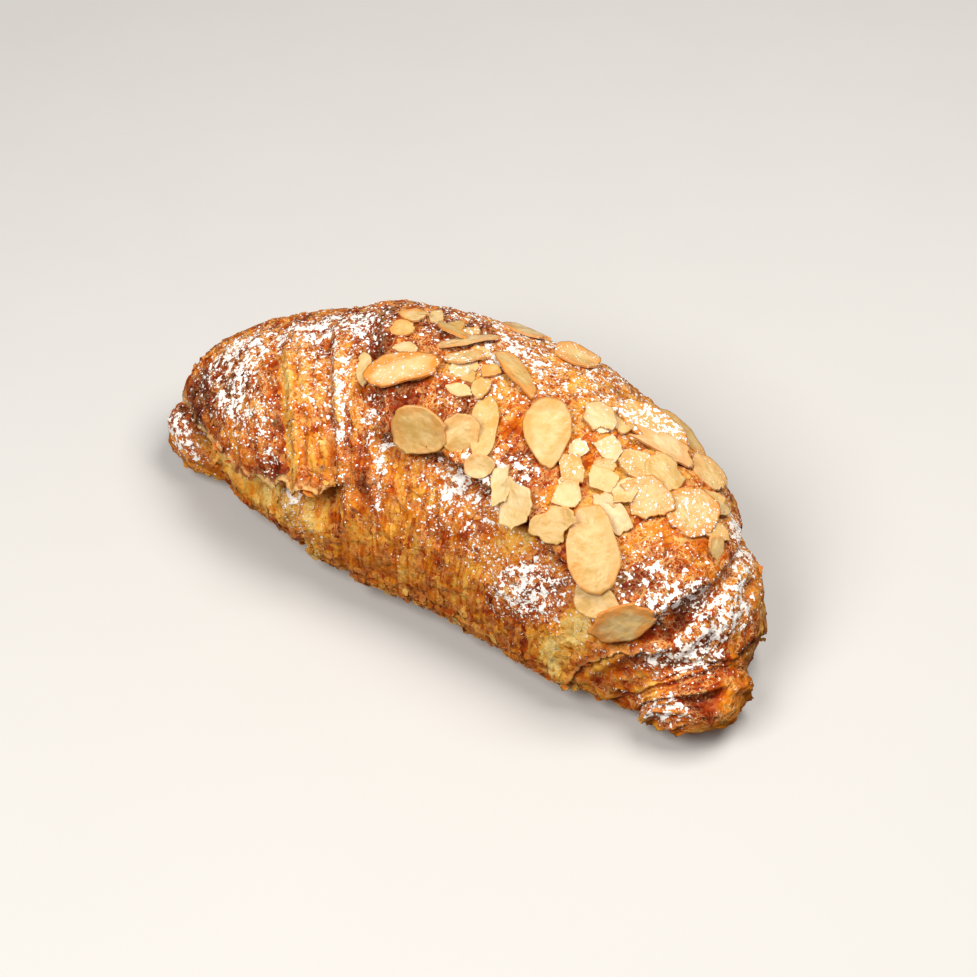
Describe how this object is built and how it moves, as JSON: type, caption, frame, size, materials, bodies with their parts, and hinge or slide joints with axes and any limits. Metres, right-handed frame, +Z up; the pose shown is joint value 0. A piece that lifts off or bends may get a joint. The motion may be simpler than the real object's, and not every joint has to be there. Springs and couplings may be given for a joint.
{
  "type": "almond croissant",
  "caption": "Crescent pastry of rolled, baked dough with a raised last flap, an open seam and a knob at each end, topped with almond flakes; it rests on its flat underside.",
  "frame": {"origin": "under the middle of its box, on the plane it rests on", "axes": "+X along the length towards the right tip, -Y the front towards which the tips turn, +Z up"},
  "size_m": [0.1742, 0.0808, 0.0618],
  "materials": {
    "crust": "baked, rough, slightly glossy where the crust is bare",
    "almond": "smooth, waxy, toasted at the rim",
    "sugar": "fine matte powder"
  },
  "bodies": {
    "root": {"croissant": "crust"}
  },
  "joints": []
}
